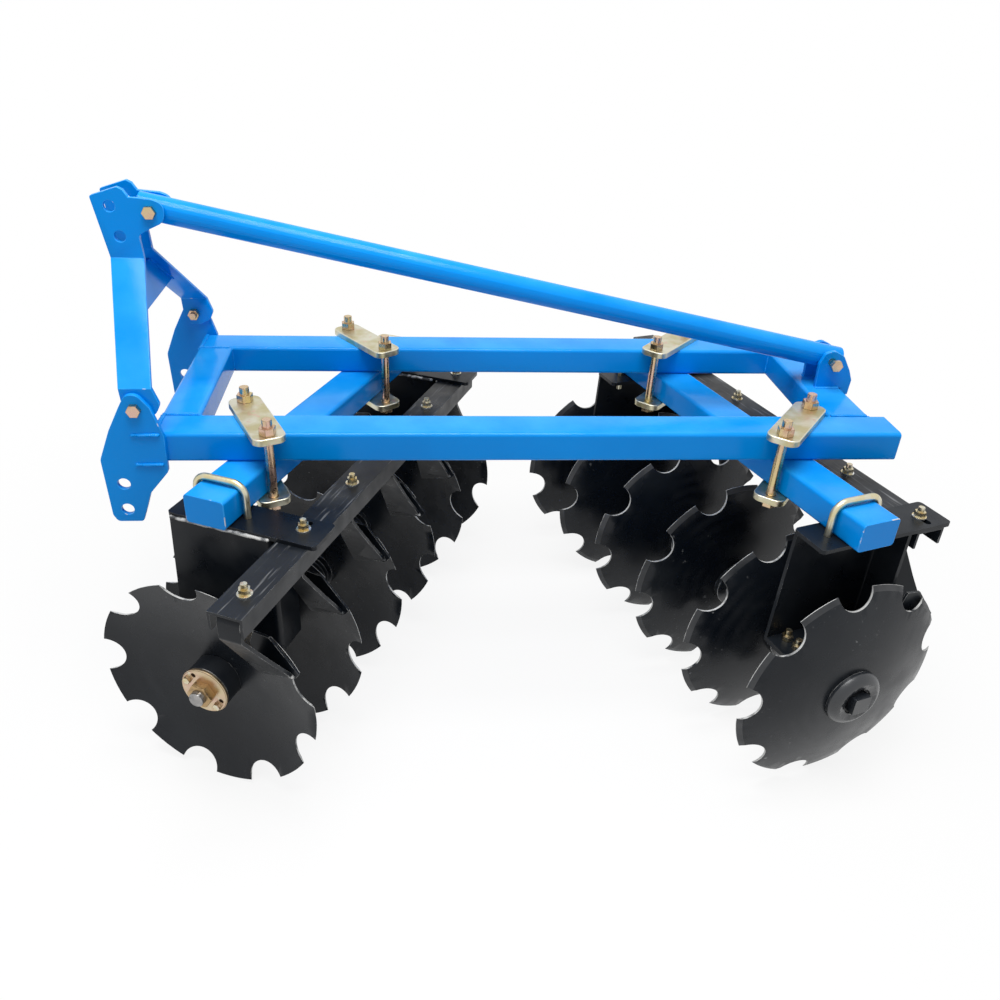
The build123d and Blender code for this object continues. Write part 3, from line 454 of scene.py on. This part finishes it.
def make_metal(name, film, wash, stain, rough, size=1.0):
    """Bare metal, or zinc under a film, whose colour shifts in patches of a given size."""
    finish, tree, shader, place = new_finish(name, specular=0.5, metal=1.0)
    washed = noise(tree, place, scale=22 / size, detail=3, low=0.38, high=0.62)
    stained = noise(tree, place, scale=60 / size, detail=6, low=0.58, high=0.76)
    sheen = noise(tree, place, scale=90 / size, detail=4, low=0.2, high=0.8,
                  least=rough, most=rough + ROUGHNESS_RANGE)
    grain = noise(tree, place, scale=500, detail=3, low=0.2, high=0.8)
    dressed(tree, shader, tinted(tree, stained, tinted(tree, washed, film, wash), stain), sheen)
    grained(tree, shader, grain, depth=0.00002)
    return finish


def loose_parts(node):
    """The points of each separate solid of a node."""
    shape = bmesh.new()
    shape.from_mesh(frame["nodes"][node].data)
    bmesh.ops.remove_doubles(shape, verts=shape.verts, dist=MERGE_WITHIN)
    waiting = set(shape.verts)
    parts = []
    while waiting:
        front = [waiting.pop()]
        part = []
        while front:
            vertex = front.pop()
            part.append(vertex.co.copy())
            for edge in vertex.link_edges:
                other = edge.other_vert(vertex)
                if other in waiting:
                    waiting.remove(other)
                    front.append(other)
        parts.append(part)
    shape.free()
    return parts


def cut_thread(name, foot, direction, length, radius, pitch):
    """A thread on a bar: one ridge modelled, repeated along the bar, and laid on its place."""
    bpy.ops.object.select_all(action="DESELECT")
    bpy.ops.mesh.primitive_cylinder_add(vertices=THREAD_SIDES, radius=radius - THREAD_RISE, depth=pitch,
                                        end_fill_type="NOTHING", location=(0, 0, 0))
    thread = bpy.context.object
    thread.name = name
    bpy.ops.object.mode_set(mode="EDIT")
    bpy.ops.mesh.select_mode(type="EDGE")
    shape = bmesh.from_edit_mesh(thread.data)
    for edge in shape.edges:
        edge.select_set(abs(edge.verts[0].co.z - edge.verts[1].co.z) > pitch / 2)
    bmesh.update_edit_mesh(thread.data)
    bpy.ops.mesh.subdivide(number_cuts=1)
    bpy.ops.mesh.select_mode(type="VERT")
    shape = bmesh.from_edit_mesh(thread.data)
    for vertex in shape.verts:
        vertex.select_set(abs(vertex.co.z) < pitch / 4)
    bmesh.update_edit_mesh(thread.data)
    wide = (radius + THREAD_RISE) / (radius - THREAD_RISE)
    bpy.ops.transform.resize(value=(wide, wide, 1.0))
    bpy.ops.object.mode_set(mode="OBJECT")
    bpy.ops.object.modifier_add(type="ARRAY")
    row = thread.modifiers[-1]
    row.count = max(2, int(length / pitch))
    row.use_relative_offset = False
    row.use_constant_offset = True
    row.constant_offset_displace = (0, 0, pitch)
    row.use_merge_vertices = True
    row.merge_threshold = pitch / 20
    bpy.ops.object.modifier_apply(modifier=row.name)
    thread.rotation_euler = Vector(direction).to_track_quat("Z", "Y").to_euler()
    thread.location = Vector(foot) + Vector(direction) * pitch / 2
    bpy.ops.object.transform_apply(location=True, rotation=True, scale=True)
    bpy.ops.object.shade_smooth()
    return thread


def tail_threads(name, node, direction, length, pitch):
    """A thread on the thin end of every bolt of a node whose shanks lie along a direction."""
    threads = []
    for part in loose_parts(node):
        ends = []
        for way in (Vector(direction), -Vector(direction)):
            reach = max(point.dot(way) for point in part)
            rim = [point for point in part if point.dot(way) > reach - TIP_DEPTH]
            middle = sum(rim, Vector()) / len(rim)
            ends.append((max((point - middle).length for point in rim), way, middle))
        radius, way, tip = min(ends, key=lambda end: end[0])
        threads.append(cut_thread(name, tip - way * length, way, length - pitch / 2, radius, pitch))
    return threads


rose_zinc = make_metal("zinc_film_rose", ROSE_ZINC, GOLD_ZINC, COPPER_ZINC, rough=0.16, size=1.4)
dull_zinc = make_metal("zinc_edge_dull", DULL_ROSE, DULL_GOLD, DARK_ZINC, rough=0.35, size=0.5)
in_place_of("mast_bolts", BOLT_EDGE, "frame", "zinc_bolts", rose_zinc, dull_zinc)
joined(tail_threads("threads_mast", "mast_bolts", (0, 1, 0), **MAST_THREAD),
       "frame", rose_zinc)

# Gang beams
# A tube over each gang, in the same blue. Their closed ends stick out past the frame, and
# the paint on those edges is scuffed to the primer and carries a painted highlight in lighter blue.

SCUFFED_EDGE = 0.0018
for gang in ("front", "rear"):
    in_place_of("gang_beam_" + gang, SCUFFED_EDGE, "frame", "blue_paint", blue_paint, blue_highlit_scuffed)

# Clamps
# Four pairs of thick plates, drawn together by long bolts, hold the gang beams under the
# frame. The plates are zinc with an olive film, the bolts have the pink and gold one.

PLATE_EDGE = 0.0014
OLIVE_ZINC = (0.52, 0.47, 0.27)
CLAMP_THREAD = {"length": 0.017, "pitch": 0.0025}
olive_zinc = make_metal("zinc_film_olive", OLIVE_ZINC, PALE_ZINC, ROSE_ZINC, rough=0.26)
pale_zinc = make_metal("zinc_film_pale", PALE_ZINC, PALE_ZINC, OLIVE_ZINC, rough=0.3, size=0.5)
in_place_of("clamp_plates", PLATE_EDGE, "frame", "yellow_zinc", olive_zinc, pale_zinc)
in_place_of("clamp_bolts", BOLT_EDGE, "frame", "zinc_bolts", rose_zinc, dull_zinc)
joined(tail_threads("threads_clamps", "clamp_bolts", (0, 0, 1), **CLAMP_THREAD),
       "frame", rose_zinc)

# U-bolts
# Round bars bent over the gang beams, in pale yellow zinc, with a nut on each leg under the
# legs' top plates.

YELLOW_ZINC = (0.66, 0.58, 0.34)
yellow_zinc = make_metal("zinc_film_yellow", YELLOW_ZINC, PALE_ZINC, OLIVE_ZINC, rough=0.24, size=0.6)
in_place_of("u_bolts", BOLT_EDGE, "frame", "yellow_zinc", yellow_zinc)

# Legs
# Folded from thick plate, with a plate welded on top and another under the foot, and sprayed
# black without much care. The edges are rubbed and carry a painted highlight in grey, and the welds are
# half bare.

BLACK = (0.0042, 0.0062, 0.0098)
THIN_BLACK = (0.013, 0.016, 0.020)
# The grey and the bare steel below are wear, and on edges they also serve as a painted highlight.
RUBBED_AND_HIGHLIGHT_GREY = (0.21, 0.215, 0.22)
BARE_STEEL_AND_HIGHLIGHT = (0.50, 0.50, 0.49)
STREAK_STRETCH = 16
HALF_ROW = 0.575
BEARING_SEATS = (0.153, 1.073)
LEG_HALF = 0.048
LEG_SEAM = (-0.112, 0.134)
LEG_SEAM_DROPS = (0.080, 0.376)

gang_turn = {}
gang_axis = {}
gang_place = {}
for gang, mirrored in (("front", 1), ("rear", -1)):
    joint = next(row for row in frame["joints"] if row["name"] == gang + "_gang_spin")
    turn = math.atan2(-joint["axis"][0], joint["axis"][1])
    gang_turn[gang] = turn
    gang_axis[gang] = Vector((-math.sin(turn), math.cos(turn), 0))
    gang_place[gang] = (Matrix.Translation((joint["pos_m"][0], joint["pos_m"][1], 0))
                        @ Matrix.Rotation(turn, 4, "Z")
                        @ Matrix.Diagonal((1, mirrored, 1, 1)) @ Matrix.Translation((0, -HALF_ROW, 0)))


def turned_to(tree, place, gang, middle=(0, 0, 0), stretch=1):
    """Coordinates turned to a gang, counted from a middle and drawn out along the gang."""
    mapping = tree.nodes.new("ShaderNodeMapping")
    mapping.vector_type = "TEXTURE"
    mapping.inputs["Location"].default_value = middle
    mapping.inputs["Rotation"].default_value = (0, 0, gang_turn[gang])
    mapping.inputs["Scale"].default_value = (1, stretch, 1)
    tree.links.new(place, mapping.inputs["Vector"])
    return mapping.outputs["Vector"]


def make_black_paint(name, rough, specular, gang=None):
    """Thin black paint, with streaks along the gang where one is named."""
    finish, tree, shader, place = new_finish(name, specular)
    clouds = noise(tree, place, scale=6, detail=5, low=0.4, high=0.75)
    sheen = noise(tree, place, scale=22, detail=5, low=0.3, high=0.7,
                  least=rough, most=rough + ROUGHNESS_RANGE)
    colour = tinted(tree, clouds, BLACK, THIN_BLACK)
    if gang:
        streaks = turned_to(tree, place, gang, stretch=STREAK_STRETCH)
        lines = noise(tree, streaks, scale=130, detail=4, low=0.58, high=0.78)
        scratches = combined(tree, "MULTIPLY", facing_up(tree, low=0.6, high=0.95), lines)
        colour = tinted(tree, scratches, colour, RUBBED_AND_HIGHLIGHT_GREY)
        relief = noise(tree, streaks, scale=150, detail=3, low=0.2, high=0.8)
    else:
        relief = noise(tree, place, scale=160, detail=4, low=0.2, high=0.8)
    dressed(tree, shader, colour, sheen)
    grained(tree, shader, relief, depth=0.00007)
    return finish


def make_black_edge(name, low, high):
    """Black paint on an edge, rubbed grey and chipped to bare steel in places; the grey and the bare
    steel also stand in as a painted highlight along the edge.
    """
    finish, tree, shader, place = new_finish(name, specular=0.45)
    thinner_paint_and_highlight = noise(tree, place, scale=18, detail=5, low=0.4, high=0.6)
    bare_and_highlight = noise(tree, place, scale=36, detail=6, low=low, high=high)
    # The grey and the bare steel are partly wear and partly a painted highlight on the edge.
    colour = tinted(tree, bare_and_highlight, tinted(tree, thinner_paint_and_highlight, THIN_BLACK, RUBBED_AND_HIGHLIGHT_GREY), BARE_STEEL_AND_HIGHLIGHT)
    dressed(tree, shader, colour, spread(tree, bare_and_highlight, 0, 1, least=0.35, most=0.5))
    return finish


black_paint = make_black_paint("black_paint_thin", rough=0.24, specular=0.2)
# The rubbed grey on these edges is partly a painted highlight.
black_edge = make_black_edge("black_edge_rubbed_highlit", low=0.52, high=0.62)
half_bare = make_black_edge("black_edge_half_bare", low=0.44, high=0.56)
for gang in ("front", "rear"):
    beads = []
    for seat in BEARING_SEATS:
        for drop in LEG_SEAM_DROPS:
            start, end = (gang_place[gang] @ Vector((x, seat - LEG_HALF, beam_low[2] - drop))
                          for x in LEG_SEAM)
            beads.append(weld_bead("beads_legs_" + gang, start, end, **BROAD_BEAD))
    joined(beads, "frame", half_bare)
    for side in ("near", "far"):
        in_place_of(f"leg_{gang}_{side}", PLATE_EDGE, "frame", "black_paint", black_paint, black_edge)

# Bearings
# Cast housings bolted under the legs' feet, with a rough skin under thin black paint. Their
# bolts have a gold film.

CAST_EDGE = 0.0016
BEARING_THREAD = {"length": 0.013, "pitch": 0.002}
black_casting = make_black_paint("black_casting_rough", rough=0.36, specular=0.5)
gold_zinc = make_metal("zinc_film_gold", GOLD_ZINC, PALE_ZINC, ROSE_ZINC, rough=0.2, size=0.5)
for gang in ("front", "rear"):
    in_place_of("bearings_" + gang, CAST_EDGE, "frame", "black_casting", black_casting, black_edge)
in_place_of("bearing_bolts", BOLT_EDGE, "frame", "zinc_bolts", gold_zinc, dull_zinc)
joined(tail_threads("threads_bearings", "bearing_bolts", (0, 0, 1), **BEARING_THREAD),
       "frame", gold_zinc)

# Scrapers
# A channel bolted under the legs carries a bent arm for each disc, with a blade welded on.
# The channels show the long streaks of their rolling under thin black paint.

SCRAPER_SEAM = ((0.165, -0.0145, 0.420), (0.208, -0.0145, 0.419), (0.243, -0.0135, 0.407))
DISC_PITCH = 0.230
DISC_COUNT = 6
for gang in ("front", "rear"):
    streaked = make_black_paint("black_paint_streaked_" + gang, rough=0.26, specular=0.3, gang=gang)
    in_place_of("scraper_beam_" + gang, PLATE_EDGE, "frame", "black_paint", streaked, black_edge)
    in_place_of("scrapers_" + gang, BOLT_EDGE, "frame", "black_paint", black_paint, half_bare)
    beads = []
    for index in range(DISC_COUNT):
        points = [gang_place[gang] @ (Vector(point) + Vector((0, index * DISC_PITCH, 0)))
                  for point in SCRAPER_SEAM]
        for start, end in zip(points, points[1:]):
            beads.append(weld_bead("beads_scrapers_" + gang, start, end))
    joined(beads, "frame", half_bare)

# Scraper bolts
# Gold zinc bolts along the scraper beams with white zinc washers, told from the nuts by how
# far they reach from the bolt. Two in each row also go through the slots of the top plates.

SMALL_BOLT_EDGE = 0.0006
WASHER_FROM = 0.0129
WASHER_FINISH = 2
WHITE_ZINC = (0.78, 0.79, 0.78)
GREY_ZINC = (0.66, 0.66, 0.64)
SCRAPER_THREAD = {"length": 0.010, "pitch": 0.002}
white_zinc = make_metal("zinc_film_white", WHITE_ZINC, GREY_ZINC, PALE_ZINC, rough=0.25, size=0.5)
bolts = in_place_of("scraper_bolts", SMALL_BOLT_EDGE, "frame", "zinc_bolts", gold_zinc, dull_zinc)
bolts.data.materials.append(white_zinc)
bolt_middles = []
for part in loose_parts("scraper_bolts"):
    bolt_middles.append(Vector([(min(point[k] for point in part) + max(point[k] for point in part)) / 2
                                for k in (0, 1)]))
for face in bolts.data.polygons:
    spot = Vector(face.center[:2])
    if min((spot - middle).length for middle in bolt_middles) > WASHER_FROM:
        face.material_index = WASHER_FINISH
joined(tail_threads("threads_scrapers", "scraper_bolts", (0, 0, 1), **SCRAPER_THREAD),
       "frame", gold_zinc)

# Discs
# Pressed from hard sheet with nine bites out of the rim, ground to an edge from behind, and
# painted gloss black. The rim and the walls of the bites are light grey, partly rubbed to bare
# steel and partly a painted highlight; the ground band next to them is dark and oily.

DISC_EDGE = 0.0005
AXLE_HEIGHT = 0.280
GROUND_FROM = 0.20
GROUND_TILT = 0.90
RIM_TILT = 0.35
MAIN_FINISH, RIM_FINISH, GROUND_FINISH = 0, 1, 2
HANDLED_BLACK = (0.017, 0.019, 0.023)
OILED_STEEL = (0.014, 0.016, 0.019)
GROUND_STEEL = (0.05, 0.052, 0.056)


def make_disc_paint(gang):
    """Gloss black with the faint rings that pressing and handling leave round the middle."""
    finish, tree, shader, place = new_finish("disc_paint_" + gang, specular=0.24)
    rings = tree.nodes.new("ShaderNodeTexWave")
    rings.wave_type = "RINGS"
    rings.rings_direction = "Y"
    rings.inputs["Scale"].default_value = 9
    rings.inputs["Distortion"].default_value = 3
    rings.inputs["Detail"].default_value = 3
    axle = gang_place[gang] @ Vector((0, 0, AXLE_HEIGHT))
    tree.links.new(turned_to(tree, place, gang, middle=axle), rings.inputs["Vector"])
    clouds = noise(tree, place, scale=5, detail=5, low=0.4, high=0.75)
    smudges = noise(tree, place, scale=7, detail=5, low=0.5, high=0.8)
    specks = noise(tree, place, scale=90, detail=6, low=0.66, high=0.74)
    patches = noise(tree, place, scale=4, detail=2, low=0.5, high=0.7)
    sheen = noise(tree, place, scale=12, detail=5, low=0.3, high=0.7, least=0.16, most=0.36)
    waves = noise(tree, place, scale=40, detail=5, low=0.2, high=0.8)
    marks = combined(tree, "MULTIPLY", rings.outputs["Fac"], smudges)
    colour = tinted(tree, marks, tinted(tree, clouds, BLACK, THIN_BLACK), HANDLED_BLACK)
    colour = tinted(tree, combined(tree, "MULTIPLY", specks, patches), colour, RUBBED_AND_HIGHLIGHT_GREY)
    dressed(tree, shader, colour, sheen)
    grained(tree, shader, waves, depth=0.0001)
    return finish


def make_ground_steel():
    """Steel ground to a bevel and left in the oil, darker where the paint ran over it."""
    finish, tree, shader, place = new_finish("ground_steel_rubbed", specular=0.35)
    stain = noise(tree, place, scale=14, detail=6, low=0.3, high=0.7)
    sheen = noise(tree, place, scale=60, detail=4, low=0.3, high=0.7, least=0.3, most=0.45)
    dressed(tree, shader, tinted(tree, stain, OILED_STEEL, GROUND_STEEL), sheen)
    return finish


ground_steel = make_ground_steel()
# The rim faces are painted mostly light grey: partly bare ground steel, partly a painted highlight.
bright_rim = make_black_edge("ground_rim_highlit", low=0.36, high=0.5)
for gang in ("front", "rear"):
    discs = in_place_of("discs_" + gang, DISC_EDGE, gang + "_gang", "disc_steel",
                        make_disc_paint(gang), bright_rim)
    discs.data.materials.append(ground_steel)
    axis = gang_axis[gang]
    axle = gang_place[gang] @ Vector((0, 0, AXLE_HEIGHT))
    for face in discs.data.polygons:
        spot = face.center - axle
        if (spot - axis * spot.dot(axis)).length > GROUND_FROM:
            tilt = abs(face.normal.dot(axis))
            # Rim faces take the light grey of bare steel and painted highlight.
            if tilt < RIM_TILT:
                face.material_index = RIM_FINISH
            elif tilt < GROUND_TILT and face.material_index == MAIN_FINISH:
                face.material_index = GROUND_FINISH

# Spools, hubs and domes
# Ribbed cast spacers between the discs, a plain drum before the first disc and a dished
# washer behind the last one, all black over a cast skin.

gloss_casting = make_black_paint("black_casting_gloss", rough=0.2, specular=0.8)
for gang in ("front", "rear"):
    body = gang + "_gang"
    in_place_of("spools_" + gang, PLATE_EDGE, body, "black_casting", gloss_casting, black_edge)
    in_place_of("end_hub_" + gang, PLATE_EDGE, body, "black_paint", black_casting, black_edge)
    in_place_of("dome_washer_" + gang, PLATE_EDGE, body, "black_paint", gloss_casting, black_edge)

# Gang bolts
# A square bar through the whole gang. Its forged head is painted with the discs, and its
# threaded end, in bare steel, takes a heavy bronze-coloured nut over a locking plate.

HEAVY_EDGE = 0.0012
HEAD_FROM = 1.170
HEAD_FINISH = 1
LOCK_BOLT_DEPTH = 0.0075
LOCK_BOLT_FINISH = 2
GANG_THREAD = {"length": 0.011, "pitch": 0.003}
TURNED_STEEL = (0.24, 0.24, 0.24)
WORN_STEEL = (0.36, 0.35, 0.34)
DARK_STEEL = (0.14, 0.14, 0.14)
BRONZE_ZINC = (0.40, 0.27, 0.13)
BRONZE_SHINE = (0.48, 0.33, 0.17)
STRAW_ZINC = (0.60, 0.50, 0.32)
BLUSH_ZINC = (0.60, 0.42, 0.32)
steel = make_metal("bare_steel_turned", TURNED_STEEL, WORN_STEEL, DARK_STEEL, rough=0.25, size=0.5)
bronze_zinc = make_metal("zinc_film_bronze", BRONZE_ZINC, BRONZE_SHINE, DARK_ZINC, rough=0.24, size=0.7)
blush_zinc = make_metal("zinc_film_blush", STRAW_ZINC, BLUSH_ZINC, PALE_ZINC, rough=0.24)
for gang in ("front", "rear"):
    body = gang + "_gang"
    inward = gang_place[gang].inverted()
    bolt = in_place_of("gang_bolt_" + gang, HEAVY_EDGE, body, "bare_steel", steel)
    bolt.data.materials.append(gloss_casting)
    for face in bolt.data.polygons:
        if (inward @ face.center)[1] > HEAD_FROM:
            face.material_index = HEAD_FINISH
    joined(tail_threads("threads_gang_bolt_" + gang, "gang_bolt_" + gang, gang_axis[gang], **GANG_THREAD),
           body, steel)
    lock = in_place_of("lock_plate_" + gang, BOLT_EDGE, body, "yellow_zinc", blush_zinc, dull_zinc)
    lock.data.materials.append(gold_zinc)
    reach = min((inward @ vertex.co)[1] for vertex in lock.data.vertices) + LOCK_BOLT_DEPTH
    for face in lock.data.polygons:
        if (inward @ face.center)[1] < reach and face.material_index == MAIN_FINISH:
            face.material_index = LOCK_BOLT_FINISH
    in_place_of("gang_nut_" + gang, HEAVY_EDGE, body, "yellow_zinc", bronze_zinc, dull_zinc)
